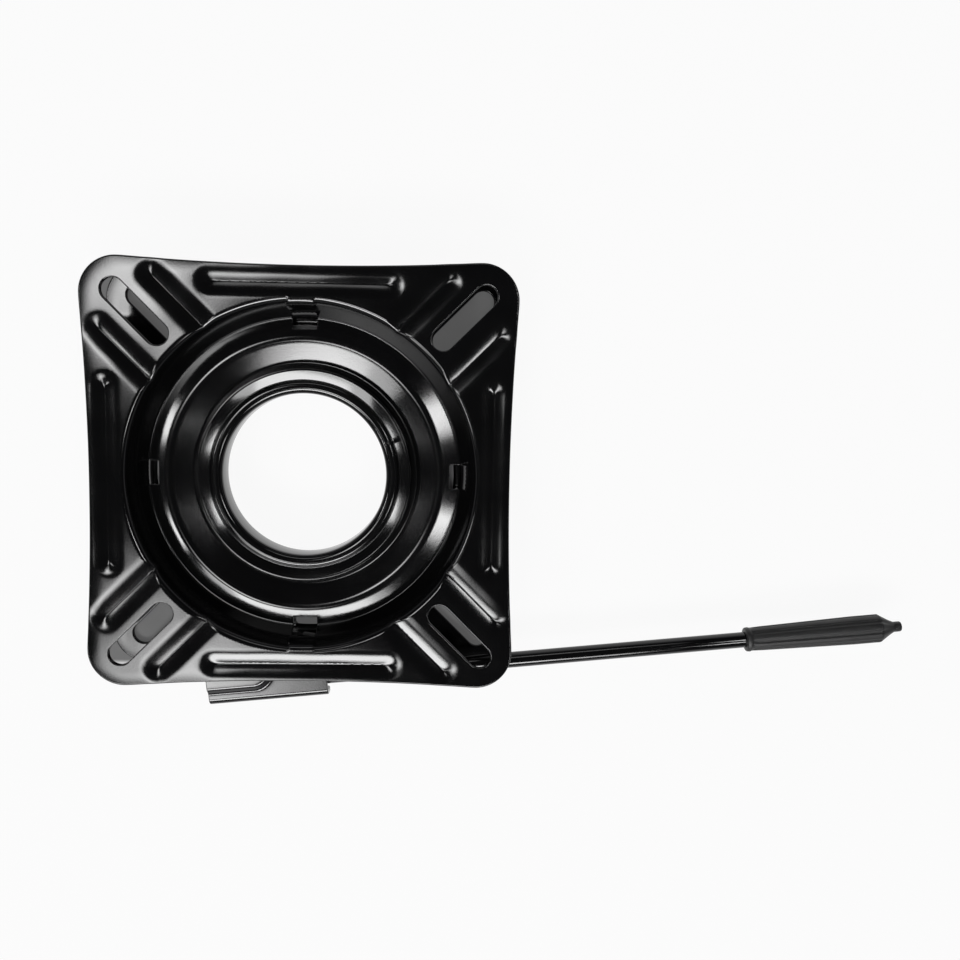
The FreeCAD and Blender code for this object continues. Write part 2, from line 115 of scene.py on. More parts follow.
# Slow waves of the flange: turn in radians per millimetre along X and Y, and phase
WAVINESS = 0.04
WAVE_FULL_RADIUS = 80.0
CROSS_WAVE_TURN = (0.11, 0.09)
CROSS_WAVE_PHASE = (0.4, 1.1)
SLANT_WAVE_TURN = (0.21, -0.17)
SLANT_WAVE_SHARE = 0.6

# Lock windows in the recess wall
WINDOW_HALF_WIDTH = 5.1
WINDOW_INNER = 61.5
WINDOW_OUTER = 68.82
WINDOW_PASSES = 3
FRONT_QUARTER = 2

# Plan points of the plates: rings over the dish, and rows beside each rib's crease.
# The last value of FLANK_ROWS, the steps and SAME_POINT are shares of the spacing.
SEAT_SPACING = 0.95
FLOOR_SPACING = 1.5 * SEAT_SPACING
DISH_RINGS = [
    43.0, 45.5, 47.0, 47.8, 48.4, 49.0, 49.8, 51.0, 52.6, 54.2, 55.2, 56.0, 56.8, 57.5, 58.2, 59.0, 59.8,
    60.6, 61.5, 62.6, 63.8, 64.8, 65.3, 65.6, 65.8, 66.0, 66.15, 66.35, 66.8, 67.8, 69.0, 70.0, 70.7,
]
WALL_TOP_RINGS = (71.2, 76.0, 0.4)
RING_MEAN_RADIUS = 54
CREASE_ROWS = [0.0, 0.15, 0.32, 0.55, 0.9]
FLANK_ROWS = (1.4, 9.0, 0.8)
SIDE_ROW_SHARE = 0.9
CORNER_ROWS_IN = 9.0
CORNER_ROWS_OUT = 8.0
SIDE_ROWS_OUT = 7.0
SIDE_STEP = 1.5
FLANGE_STEP = 2.2
SAME_POINT = 0.12

# Meshing of sheet pieces
SLOPE_STEP = 0.04
EDGE_CLEARANCE = 0.3
EDGE_ANGLES = [30, 60, 90]
DISTANCE_BATCH = 4000
LOOP_BATCH = 60

# Hub eyelet
HUB_BORE_RADIUS = 34.5
HUB_FLANGE_RADIUS = 45.3
HUB_SHEET = 2.0
HUB_TOP = 8.1
HUB_LAND_START = 44.1
HUB_CONE_ANGLE = 25.0
HUB_LIP_TOP = 7.6
HUB_LIP_OUTER = 39.7
HUB_LIP_LEAN = 0.3
HUB_FOOT_OUT = 0.35
HUB_FOOT_UP = 0.1
HUB_STEPS = 300
SEAM_ANGLE = 22.0
SEAM_RADIUS = 40.0
SEAM_DEPTH = 0.35
SEAM_WIDTH = 0.55
SEAM_FINE = 2.2
SEAM_CLEAR = 2.4
SEAM_STEPS = 23
SEAM_MIN_HEIGHT = 3.0
SEAM_INNER = (36.5, 38.5)
SEAM_OUTER = (42.5, 44.0)

# Lever
PIVOT = (-36.0, -77.0)
PIVOT_HOLE_RADIUS = 4.0
LEVER_ANGLE = 5.57
ROD_RADIUS = 3.5
ROD_OFFSET = 18.5
ROD_HEIGHT = -5.0
ROD_START = 14.0
ROD_END = 288.0
ROD_END_ROUND = 0.4
ROD_END_RADIUS = 1e-4
ROD_STEPS = 48
TOOTH_ROUND = 0.4
ARM_SHEET = 2.0
ARM_TOP = 0.5
ARM_LEFT = -9.2
ARM_RIGHT = 43.3
ARM_OUTER_EDGE = 26.1
ARM_BEND_RADIUS = 3.0
ARM_FLANGE_STRAIGHT = 6.0
ARM_ROUND = 0.4
ARM_HOLE_RADIUS = 4.3
ARM_INNER_CORNERS = [
    (43.3, -11.1), (41.55, -11.1), (42.97, -5.22), (29.36, -1.94), (27.15, -11.1), (18.0, -11.1),
    (18.0, 1.0), (15.7, 6.7), (10.0, 9.0), (-1.2, 9.0), (-6.9, 6.7), (-9.2, 1.0),
]
ARM_SPACING = 0.7
ARM_ROW_SPACING = 0.6
ARM_PATTERN_TOP = 33.0
ARM_PASSES = 4
PAD_RISE = 2.0
PAD_EDGE = 5.4
PAD_SLOPE_RUN = 2.2
PAD_SOFTNESS = 0.5
PAD_RIGHT = 20.2
PAD_TURN_RADIUS = 9.0

# Grip: tables of distance, radius and share of the flutes' depth, from its start, shoulder, tip and end
GRIP_START = 231.3
GRIP_LENGTH = 71.4
GRIP_TIP_LENGTH = 6.4
GRIP_NUB_LENGTH = 3.6
GRIP_NUB_RADIUS = 2.3
GRIP_COLLAR = [
    (0.0, 3.3, 0.0), (0.0, 4.7, 0.0), (0.15, 5.1, 0.0), (0.5, 5.35, 0.0), (1.6, 5.45, 0.0),
    (2.0, 5.35, 0.0), (2.2, 5.2, 0.0), (2.8, 5.18, 0.15), (3.6, 5.2, 0.7), (4.6, 5.25, 1.0),
]
GRIP_BODY_START = 4.6
GRIP_BODY_SHORTER = 8.0
GRIP_NECK_RADIUS = 5.2
GRIP_SWELL = 1.12
GRIP_SWELL_LENGTH = 49.0
GRIP_SHOULDER = [
    (-1.0, 6.33, 1.0), (-0.4, 6.3, 1.0), (0.0, 6.1, 0.9), (0.6, 5.7, 0.8), (2.0, 4.85, 0.6),
    (4.0, 3.65, 0.2),
]
GRIP_TIP = [(-0.5, 2.6, 0.0), (0.0, 2.35, 0.0), (0.6, GRIP_NUB_RADIUS, 0.0)]
GRIP_END = [(-0.8, GRIP_NUB_RADIUS, 0.0), (-0.3, 2.1, 0.0), (-0.05, 1.6, 0.0), (0.0, 0.8, 0.0)]
FLUTE_COUNT = 8
FLUTE_STEPS = 24
FLUTE_RADIUS = 1.3
FLUTE_DEPTH = 0.55
FLUTE_SOFTNESS = 0.12

# Finishes: name, dark and light colour, roughness range, metallic, patch scale, grain scale, grain height
FINISHES = [
    ("black_paint", (0.001, 0.001, 0.0011), (0.002, 0.002, 0.0022), (0.08, 0.13), 0.0, 60.0, 1400.0, 0.007),
    ("grip_plastic", (0.002, 0.002, 0.0021), (0.004, 0.004, 0.0042), (0.4, 0.55), 0.0, 90.0, 2600.0, 0.02),
    ("nylon", (0.03, 0.03, 0.03), (0.05, 0.05, 0.052), (0.4, 0.55), 0.0, 120.0, 1800.0, 0.01),
    ("ball_steel", (0.6, 0.6, 0.62), (0.75, 0.75, 0.77), (0.08, 0.16), 1.0, 150.0, 900.0, 0.002),
    ("zinc_steel", (0.45, 0.45, 0.46), (0.6, 0.6, 0.58), (0.28, 0.42), 1.0, 180.0, 1500.0, 0.006),
]
PATCH_RANGE = (0.3, 0.7)
PATCH_DETAIL = 4.0
GRAIN_DETAIL = 3.0

# Floor and world, in metres: painted shade darkens the floor in a patch below the plate, except below the
# hub's hole
FLOOR_REACH = 6.0
FLOOR_GAP = 0.0002
FLOOR_ROUGHNESS = 0.9
FLOOR_GREY = (0.35, 0.35, 0.35)
# Painted shade: the floor's colour and its share of white in the patch below the plate
FLOOR_GREY_PAINTED_SHADE = (0.05, 0.05, 0.05)
FLOOR_WHITE = 0.93
FLOOR_WHITE_PAINTED_SHADE = 0.08
PAINTED_SHADE_PATCH = (("X", -0.0048, 0.0923), ("Y", -0.002, 0.0905))
PAINTED_SHADE_BLEND = 0.004
PAINTED_SHADE_HOLE_RADIUS = 0.045
WORLD_COLOUR = (1.0, 1.0, 1.05, 1.0)
HORIZON_RANGE = (0.05, 0.42)
HORIZON_TO_SKY = (0.45, 0.03)

# Lights: name, azimuth from +X, elevation, width and height in degrees, radiance, and sizes of the layers
LIGHT_DISTANCE = 4.0
LAYER_GAP = 0.02
BOX_LAYERS = (1.2, 0.8)
GLOW_LAYERS = (1.6, 1.35, 1.1, 0.85, 0.6, 0.35)
LIGHTS = [
    ("front_box", -101, 46.5, 42, 14, 15.0, BOX_LAYERS),
    ("right_back_box", 19, 63, 9, 5, 18.0, BOX_LAYERS),
    ("right_front_box", -36, 57.5, 8, 4.5, 18.0, BOX_LAYERS),
    ("back_left_box", 172, 46.5, 8, 5, 18.0, BOX_LAYERS),
    ("front_left_box", -152, 43.5, 8, 5, 16.0, BOX_LAYERS),
    ("back_left_glow", 160, 71, 9, 8, 13.0, GLOW_LAYERS),
    ("front_left_glow", -126, 65.5, 10, 8, 12.0, GLOW_LAYERS),
    ("back_glow", 95, 46, 30, 9, 2.0, BOX_LAYERS),
]

# Camera: turns about the picture's axes, then the place, found from the photo
CAMERA_TURNS = (6.54531046, 2.0497161, -0.88187478)
CAMERA_SHIFT = (-74.13417424, 0.79494702, -408.87942477)
CAMERA_LENS = 37.125
CAMERA_SENSOR = 36.0
CAMERA_CLIP = (0.01, 50.0)


def smooth_step(low, high, value):
    share = np.clip((value - low) / (high - low), 0.0, 1.0)
    return share * share * (3.0 - 2.0 * share)


def soft_ramp(value, softness):
    """Zero below zero and the value above it, with a rounded corner."""
    return 0.5 * (value + np.sqrt(value * value + softness * softness))


def eased_loop(points, passes):
    """Closed loop with its corners eased by averaging neighbours."""
    for _ in range(passes):
        points = (np.roll(points, 1, 0) + 2 * points + np.roll(points, -1, 0)) / 4
    return points


def turned_axes(x, y, degrees):
    """Coordinates of points along axes turned by an angle."""
    angle = math.radians(degrees)
    return x * math.cos(angle) + y * math.sin(angle), y * math.cos(angle) - x * math.sin(angle)


def filleted(corners, steps):
    """Points of a profile with its corners rounded, from corners of radius, height and fillet."""
    points = [np.array(corners[0][:2], float)]
    for before, corner, after in zip(corners, corners[1:], corners[2:]):
        here = np.array(corner[:2], float)
        back = np.array(before[:2], float) - here
        forward = np.array(after[:2], float) - here
        back /= np.linalg.norm(back)
        forward /= np.linalg.norm(forward)
        half_turn = math.acos(np.clip(back @ forward, -1, 1)) / 2
        if corner[2] == 0.0 or half_turn > math.radians(STRAIGHT_HALF_TURN):
            points.append(here)
            continue
        reach = corner[2] / math.tan(half_turn)
        middle = (back + forward) / np.linalg.norm(back + forward)
        centre = here + middle * corner[2] / math.sin(half_turn)
        first = here + back * reach - centre
        last = here + forward * reach - centre
        sweep = math.pi - 2 * half_turn
        for share in np.linspace(0, 1, steps):
            weight_first = math.sin((1 - share) * sweep) / math.sin(sweep)
            weight_last = math.sin(share * sweep) / math.sin(sweep)
            points.append(centre + first * weight_first + last * weight_last)
    points.append(np.array(corners[-1][:2], float))
    return np.array(points)


DISH_POINTS = filleted(DISH_PROFILE, 60)


def rib_depth(u, v, start, end, half_width, crease_angle):
    """Depth of one V rib with its crease along u: steepest at the crease and easing out to the flange."""
    past = soft_ramp(np.maximum(u - end, start - u), RIB_END_SOFTNESS) * half_width / RIB_END_RUN
    reach = np.sqrt(v * v + past * past + RIB_CREASE_ROUND ** 2)
    depth = math.tan(math.radians(crease_angle)) * half_width / RIB_POWER
    return depth * soft_ramp(1.0 - reach / half_width, RIB_SHOULDER) ** RIB_POWER


def outline_points(corner_steps, side_steps):
    """Plate's outline, anticlockwise: hollow sides and round corners."""
    straight = HALF_WIDTH - CORNER_RADIUS
    sag_radius = (straight ** 2 + SIDE_SAG ** 2) / (2 * SIDE_SAG)
    points = []
    for quarter in range(4):
        turn = np.array([[math.cos(quarter * math.pi / 2), -math.sin(quarter * math.pi / 2)],
                         [math.sin(quarter * math.pi / 2), math.cos(quarter * math.pi / 2)]])
        for angle in np.linspace(0, math.pi / 2, corner_steps, endpoint=False):
            x = straight + CORNER_RADIUS * math.cos(angle)
            y = straight + CORNER_RADIUS * math.sin(angle)
            points.append(turn @ np.array((x, y)))
        for x in np.linspace(straight, -straight, side_steps, endpoint=False):
            y = HALF_WIDTH - SIDE_SAG + sag_radius - math.sqrt(sag_radius ** 2 - x * x)
            points.append(turn @ np.array((x, y)))
    return eased_loop(np.array(points), OUTLINE_PASSES)


OUTLINE = outline_points(30, 76)


def edge_distance(x, y):
    """Distance from the plate's outline."""
    flat = np.stack([x.ravel(), y.ravel()], 1)
    nearest = np.empty(len(flat))
    for start in range(0, len(flat), DISTANCE_BATCH):
        part = flat[start:start + DISTANCE_BATCH]
        index = ((part[:, None, :] - OUTLINE[None, :, :]) ** 2).sum(2).argmin(1)
        away = np.full(len(part), np.inf)
        for step in (-1, 0):
            first = OUTLINE[(index + step) % len(OUTLINE)]
            along = OUTLINE[(index + step + 1) % len(OUTLINE)] - first
            share = np.clip(((part - first) * along).sum(1) / (along ** 2).sum(1), 0.0, 1.0)
            away = np.minimum(away, np.linalg.norm(part - first - share[:, None] * along, axis=1))
        nearest[start:start + DISTANCE_BATCH] = away
    return nearest.reshape(x.shape)


def plate_height(x, y, side_quarters):
    """Height of the pressed sheet's open face."""
    radius = np.hypot(x, y)
    jog = 1.0 - smooth_step(JOG_HALF_WIDTH - JOG_BLEND, JOG_HALF_WIDTH + JOG_BLEND, np.abs(x))
    jog = JOG_DEPTH * jog * smooth_step(*JOG_RISE, radius) * (np.abs(y) > RIM_RADIUS)
    dish = HALF_HEIGHT - np.interp(radius + jog, DISH_POINTS[:, 0], DISH_POINTS[:, 1])
    ribs = np.zeros_like(x)
    for quarter in range(4):
        u, v = turned_axes(x, y, 45 + 90 * quarter)
        for side in (-1, 1):
            depth = rib_depth(u, v - side * CORNER_RIB_OFFSET, CORNER_RIB_START, CORNER_RIB_END,
                              CORNER_RIB_HALF_WIDTH, CORNER_RIB_ANGLE)
            ribs = np.maximum(ribs, depth)
        if quarter in side_quarters:
            u, v = turned_axes(x, y, 90 * quarter)
            depth = rib_depth(u, v - SIDE_RIB_CENTRE, -SIDE_RIB_HALF_LENGTH, SIDE_RIB_HALF_LENGTH,
                              SIDE_RIB_HALF_WIDTH, SIDE_RIB_ANGLE)
            ribs = np.maximum(ribs, depth)
    depth = (dish ** PRESSING_BLEND + ribs ** PRESSING_BLEND) ** (1 / PRESSING_BLEND)
    wave = np.sin(x * CROSS_WAVE_TURN[0] + CROSS_WAVE_PHASE[0])
    wave *= np.sin(y * CROSS_WAVE_TURN[1] + CROSS_WAVE_PHASE[1])
    wave += SLANT_WAVE_SHARE * np.sin(x * SLANT_WAVE_TURN[0] + y * SLANT_WAVE_TURN[1])
    return HALF_HEIGHT - depth + WAVINESS * wave * smooth_step(RECESS_RADIUS, WAVE_FULL_RADIUS, radius)


def plate_surface(flat, side_quarters):
    """Points of a plate's open face over plan points, with its edge drooping a little."""
    x = flat[:, 0]
    y = flat[:, 1]
    droop = np.clip(1.0 - edge_distance(x, y) / EDGE_DROOP_WIDTH, 0.0, 1.0) ** 2
    return np.stack([x, y, plate_height(x, y, side_quarters) - EDGE_DROOP * droop], 1)


def right_of(loop):
    """Unit vectors to the right of the way round a loop."""
    along = np.roll(loop, -1, 0) - np.roll(loop, 1, 0)
    along /= np.linalg.norm(along, axis=1)[:, None]
    return np.stack([along[:, 1], -along[:, 0]], 1)


def turned_loop(loop, degrees):
    angle = math.radians(degrees)
    turn = np.array([[math.cos(angle), math.sin(angle)], [-math.sin(angle), math.cos(angle)]])
    return loop @ turn


def slot_loop(grow):
    """Clockwise loop round the slot on the X axis."""
    half = (SLOT_LENGTH - SLOT_WIDTH) / 2
    radius = SLOT_WIDTH / 2 + grow
    points = []
    for side in (1, -1):
        for angle in np.linspace(math.pi / 2, -math.pi / 2, 22):
            along = half + radius * math.cos(angle)
            points.append((SLOT_CENTRE + side * along, side * radius * math.sin(angle)))
        for share in np.linspace(0, 1, 14)[1:-1]:
            points.append((SLOT_CENTRE + side * half * (1 - 2 * share), -side * radius))
    return np.array(points)


def window_loop(grow):
    """Clockwise loop round the lock window on the Y axis."""
    half = WINDOW_HALF_WIDTH + grow
    low = WINDOW_INNER - grow
    outer = WINDOW_OUTER + grow
    high = math.sqrt(outer ** 2 - half ** 2)
    points = [(-half, y) for y in np.linspace(low, high, 16, endpoint=False)]
    points += [(x, math.sqrt(outer ** 2 - x * x)) for x in np.linspace(-half, half, 20, endpoint=False)]
    points += [(half, y) for y in np.linspace(high, low, 16, endpoint=False)]
    points += [(x, low) for x in np.linspace(half, -half, 20, endpoint=False)]
    return eased_loop(np.array(points), WINDOW_PASSES)


def circle_loop(radius, count, centre=(0.0, 0.0)):
    """Clockwise circle."""
    angles = -np.linspace(0, 2 * math.pi, count, endpoint=False)
    return np.stack([centre[0] + radius * np.cos(angles), centre[1] + radius * np.sin(angles)], 1)


def inside_loop(flat, loop):
    """Which plan points lie inside a closed loop."""
    inside = np.zeros(len(flat), bool)
    following = np.roll(loop, -1, 0)
    for (x1, y1), (x2, y2) in zip(loop, following):
        if y1 == y2:
            continue
        crosses = (flat[:, 1] < y1) != (flat[:, 1] < y2)
        at = x1 + (flat[:, 1] - y1) * (x2 - x1) / (y2 - y1)
        inside ^= crosses & (flat[:, 0] < at)
    return inside


def grid_points(across, along):
    """Points of a grid, row by row."""
    u, v = np.meshgrid(across, along)
    return np.stack([u.ravel(), v.ravel()], 1)


def plan_points(spacing):
    """Plan points of a plate: rings over the dish, fine rows over the ribs and a grid on the flange."""
    rings = DISH_RINGS + list(np.arange(*WALL_TOP_RINGS))
    inner = []
    count = int(2 * math.pi * RING_MEAN_RADIUS / spacing)
    for index, radius in enumerate(rings):
        angles = np.linspace(0, 2 * math.pi, count, endpoint=False) + (index % 2) * math.pi / count
        inner.append(np.stack([radius * np.cos(angles), radius * np.sin(angles)], 1))
    near = np.array(CREASE_ROWS)
    away = np.arange(FLANK_ROWS[0], FLANK_ROWS[1], FLANK_ROWS[2] * spacing)
    rows = np.concatenate([-away[::-1], -near[:0:-1], near, away])
    corner_steps = np.arange(CORNER_RIB_START + CORNER_ROWS_IN, CORNER_RIB_END + CORNER_ROWS_OUT, spacing)
    corner = grid_points(corner_steps, rows)
    side_reach = SIDE_RIB_HALF_LENGTH + SIDE_ROWS_OUT
    side = grid_points(np.arange(-side_reach, side_reach, SIDE_STEP * spacing), rows * SIDE_ROW_SHARE)
    side += (0.0, SIDE_RIB_CENTRE)
    outer = []
    for quarter in range(4):
        for offset in (-CORNER_RIB_OFFSET, CORNER_RIB_OFFSET):
            outer.append(turned_loop(corner + (0.0, offset), 45 + 90 * quarter))
        outer.append(turned_loop(side, 90 * quarter))
    grid = np.arange(-HALF_WIDTH, HALF_WIDTH, FLANGE_STEP * spacing)
    outer.append(grid_points(grid, grid))
    outer = np.concatenate(outer)
    outer = outer[np.hypot(outer[:, 0], outer[:, 1]) > rings[-1] + WALL_TOP_RINGS[2]]
    points = np.concatenate(inner + [outer])
    cell = np.round(points / (SAME_POINT * spacing)).astype(int)
    kept = np.unique(cell, axis=0, return_index=True)[1]
    return points[np.sort(kept)]


def make_object(name, points, faces, normals=None):
    """Smooth mesh object from millimetre points, with a normal for each point where they are given."""
    mesh = bpy.data.meshes.new(name)
    mesh.from_pydata((np.asarray(points) * MM).tolist(), [], [list(map(int, face)) for face in faces])
    mesh.polygons.foreach_set("use_smooth", np.ones(len(mesh.polygons), bool))
    mesh.update()
    if normals is not None:
        mesh.normals_split_custom_set_from_vertices(np.asarray(normals, float).tolist())
    made = bpy.data.objects.new(name, mesh)
    scene.collection.objects.link(made)
    return made


def sheet_inside(flat, loops):
    """Which plan points lie on the sheet: inside its first loop and outside the others."""
    keep = inside_loop(flat, loops[0][0])
    for loop, _ in loops[1:]:
        keep &= ~inside_loop(flat, loop)
    return keep


def sheet_piece(name, loops, flat, surface, thickness, upside_down=False):
    """Sheet-metal piece: open face, back face one thickness away, and round edges between them.

    Each loop goes with its edge round. The first runs anticlockwise round the sheet and the others
    clockwise round its holes. surface gives the open face's points over plan points.
    """
    keep = sheet_inside(flat, loops)
    for loop, _ in loops:
        for start in range(0, len(loop), LOOP_BATCH):
            part = loop[start:start + LOOP_BATCH]
            near = np.flatnonzero(keep)
            away = flat[near][:, None, :] - part[None, :, :]
            keep[near[((away ** 2).sum(2).min(1)) < EDGE_CLEARANCE ** 2]] = False
    flat = flat[keep]

    plan = [Vector(p) for p in flat]
    edges = []
    for loop, _ in loops:
        first = len(plan)
        plan += [Vector(p) for p in loop]
        edges += [(first + k, first + (k + 1) % len(loop)) for k in range(len(loop))]
    found = delaunay_2d_cdt(plan, edges, [], 0, 1e-6)
    spread = np.array([tuple(p) for p in found[0]])
    triangles = np.array(found[2])
    place_of = {}
    for index, sources in enumerate(found[3]):
        for source in sources:
            place_of[source] = index
    triangles = triangles[sheet_inside(spread[triangles].mean(1), loops)]
    a, b, c = (spread[triangles[:, k]] for k in range(3))
    area = (b[:, 0] - a[:, 0]) * (c[:, 1] - a[:, 1]) - (b[:, 1] - a[:, 1]) * (c[:, 0] - a[:, 0])
    triangles[area < 0] = triangles[area < 0][:, ::-1]

    top = surface(spread)
    along_x = surface(spread + (SLOPE_STEP, 0)) - surface(spread - (SLOPE_STEP, 0))
    along_y = surface(spread + (0, SLOPE_STEP)) - surface(spread - (0, SLOPE_STEP))
    up = np.cross(along_x, along_y)
    up /= np.linalg.norm(up, axis=1)[:, None]
    count = len(top)
    points = [top, top - thickness * up]
    normals = [up, -up]
    faces = [tuple(t) for t in triangles] + [tuple(t[::-1] + count) for t in triangles]
    made = 2 * count
    first = len(flat)
    for loop, edge_round in loops:
        ids = np.array([place_of[first + k] for k in range(len(loop))])
        first += len(loop)
        aside = SLOPE_STEP * right_of(loop)
        outward = surface(loop + aside) - surface(loop - aside)
        outward -= (outward * up[ids]).sum(1)[:, None] * up[ids]
        outward /= np.linalg.norm(outward, axis=1)[:, None]
        rows = [ids]
        for angle in np.radians(EDGE_ANGLES + EDGE_ANGLES[::-1]):
            upper = len(rows) <= len(EDGE_ANGLES)
            drop = edge_round * (1 - math.cos(angle))
            drop = drop if upper else thickness - drop
            sign = 1 if upper else -1
            points.append(top[ids] + edge_round * math.sin(angle) * outward - drop * up[ids])
            normals.append(sign * math.cos(angle) * up[ids] + math.sin(angle) * outward)
            rows.append(made + np.arange(len(loop)))
            made += len(loop)
        rows.append(ids + count)
        for row, below in zip(rows, rows[1:]):
            for k in range(len(loop)):
                after = (k + 1) % len(loop)
                faces.append((row[k], below[k], below[after], row[after]))
    points = np.concatenate(points)
    normals = np.concatenate(normals)
    if upside_down:
        points[:, 2] *= -1
        normals[:, 2] *= -1
        faces = [face[::-1] for face in faces]
    return make_object(name, points, faces, normals)


def pressed_plate(name, side_quarters, windows, holes, spacing, upside_down):
    """One of the two pressed plates."""
    loops = [(OUTLINE - EDGE_ROUND * right_of(OUTLINE), EDGE_ROUND)]
    for quarter in range(4):
        loops.append((turned_loop(slot_loop(SLOT_ROUND), 45 + 90 * quarter), SLOT_ROUND))
        if quarter in windows:
            loops.append((turned_loop(window_loop(WINDOW_ROUND), 90 * quarter), WINDOW_ROUND))
    loops.append((circle_loop(RIM_RADIUS + WINDOW_ROUND, 240), WINDOW_ROUND))
    for centre, radius in holes:
        loops.append((circle_loop(radius + WINDOW_ROUND, 40, centre), WINDOW_ROUND))

    def surface(flat):
        return plate_surface(flat, side_quarters)

    return sheet_piece(name, loops, plan_points(spacing), surface, SHEET, upside_down)


def lever_place(points):
    """From the lever's own axes to the rest pose in the part's frame."""
    angle = math.radians(LEVER_ANGLE)
    turned = points.copy()
    turned[:, 0] = PIVOT[0] + points[:, 0] * math.cos(angle) - points[:, 1] * math.sin(angle)
    turned[:, 1] = PIVOT[1] + points[:, 0] * math.sin(angle) + points[:, 1] * math.cos(angle)
    return turned


def rod_place(points):
    """From a turned piece's own axis, along Z, to the rod's line."""
    along = np.stack([points[:, 2], points[:, 0] - ROD_OFFSET, points[:, 1] + ROD_HEIGHT], 1)
    return lever_place(along)


def arm_surface(flat):
    """Points of the arm's upper face over its flat pattern, along the rod and across from the bend."""
    along = flat[:, 0]
    across = flat[:, 1]
    turn = np.clip(-across / ARM_BEND_RADIUS, 0.0, math.pi / 2)
    straight = np.minimum(across, 0.0) + turn * ARM_BEND_RADIUS
    bend_start = ARM_BEND_RADIUS - ARM_OUTER_EDGE
    sideways = bend_start + np.maximum(across, 0.0) - ARM_BEND_RADIUS * np.sin(turn)
    height = ARM_TOP - ARM_BEND_RADIUS * (1 - np.cos(turn)) + straight
    from_end = PAD_RIGHT - along
    from_edge = sideways + ARM_OUTER_EDGE - PAD_EDGE
    corner = PAD_TURN_RADIUS - np.hypot(np.maximum(PAD_TURN_RADIUS - from_end, 0.0),
                                        np.maximum(PAD_TURN_RADIUS - from_edge, 0.0))
    inside = np.where((from_end < PAD_TURN_RADIUS) & (from_edge < PAD_TURN_RADIUS), corner,
                      np.minimum(from_end, from_edge))
    rise = soft_ramp(inside, PAD_SOFTNESS) - soft_ramp(inside - PAD_SLOPE_RUN, PAD_SOFTNESS)
    share = rise / PAD_SLOPE_RUN
    return lever_place(np.stack([along, sideways, height + PAD_RISE * share * (across > 0.0)], 1))


def rounded_loop(corners, spacing, passes):
    """Evenly spaced loop through corners, eased at each of them."""
    points = []
    for (x1, y1), (x2, y2) in zip(corners, corners[1:] + corners[:1]):
        count = max(2, int(math.hypot(x2 - x1, y2 - y1) / spacing))
        for share in np.linspace(0, 1, count, endpoint=False):
            points.append((x1 + (x2 - x1) * share, y1 + (y2 - y1) * share))
    return eased_loop(np.array(points), passes)


def lever_arm(name):
    """Pressed arm with a turned-down edge, a raised pad round the pivot and an ear behind the tooth."""
    bend_length = ARM_BEND_RADIUS * math.pi / 2
    flat_from = ARM_BEND_RADIUS - ARM_OUTER_EDGE
    low = -bend_length - ARM_FLANGE_STRAIGHT
    corners = [(ARM_LEFT, low), (ARM_RIGHT, low)]
    corners += [(u, v - flat_from) for u, v in ARM_INNER_CORNERS]
    loop = rounded_loop(corners, ARM_SPACING, ARM_PASSES)
    loop = loop - ARM_ROUND * right_of(loop)
    hole = circle_loop(ARM_HOLE_RADIUS + ARM_ROUND, 40, (0.0, -flat_from))
    flat = grid_points(np.arange(ARM_LEFT, ARM_RIGHT, ARM_SPACING),
                       np.arange(low, ARM_PATTERN_TOP, ARM_ROW_SPACING))
    return sheet_piece(name, [(loop, ARM_ROUND), (hole, ARM_ROUND)], flat, arm_surface, ARM_SHEET)


def lathe(name, profile, angles, place=None, shift=None):
    """Surface turned about Z from a closed profile of radius and height; shift may move its points."""
    count = len(profile)
    points = []
    for angle in angles:
        x = profile[:, 0] * math.cos(angle)
        y = profile[:, 0] * math.sin(angle)
        ring = np.stack([x, y, profile[:, 1]], 1)
        if shift is not None:
            ring = shift(ring, angle)
        points.append(ring)
    points = np.concatenate(points)
    faces = []
    for k in range(len(angles)):
        base = k * count
        following = ((k + 1) % len(angles)) * count
        for j in range(count):
            after = (j + 1) % count
            faces.append((base + j, following + j, following + after, base + after))
    if place is not None:
        points = place(points)
    return make_object(name, points, faces)


def hub_profile():
    """Closed section of the rolled eyelet, anticlockwise, from corners of radius, height and fillet."""
    tangent = math.tan(math.radians(HUB_CONE_ANGLE))
    slant = HUB_SHEET / math.cos(math.radians(HUB_CONE_ANGLE))
    tube = HUB_BORE_RADIUS + HUB_SHEET
    tube_corner = HUB_TOP - (HUB_LAND_START - tube) * tangent - slant
    under_land = HUB_LAND_START + (slant - HUB_SHEET) / tangent
    lip_foot = HUB_TOP - (HUB_LAND_START - HUB_LIP_OUTER) * tangent
    upper = [(HUB_BORE_RADIUS, HUB_LIP_TOP, 2.6), (HUB_LIP_OUTER - HUB_LIP_LEAN, HUB_LIP_TOP, 2.2),
             (HUB_LIP_OUTER + HUB_FOOT_OUT, lip_foot + HUB_FOOT_UP, 0.5), (HUB_LAND_START, HUB_TOP, 1.0),
             (HUB_FLANGE_RADIUS, HUB_TOP, 0.5), (HUB_FLANGE_RADIUS, HUB_TOP - HUB_SHEET, 0.5),
             (under_land, HUB_TOP - HUB_SHEET, 0.3), (tube, tube_corner, 0.4)]
    lower = [(r, -z, f) for r, z, f in reversed(upper)]
    corners = [(tube, 0.0, 0.0)] + lower + [(HUB_BORE_RADIUS, 0.0, 0.0)] + upper + [(tube, 0.0, 0.0)]
    return filleted(corners, 7)[:-1]


def hub_angles():
    """Angles of the eyelet's sections, closer together at its seam."""
    seam = math.radians(SEAM_ANGLE)
    angles = np.linspace(0, 2 * math.pi, HUB_STEPS, endpoint=False)
    angles = angles[np.abs(angles - seam) > SEAM_CLEAR / SEAM_RADIUS]
    fine = seam + np.linspace(-SEAM_FINE, SEAM_FINE, SEAM_STEPS) / SEAM_RADIUS
    return np.sort(np.concatenate([angles, fine]))


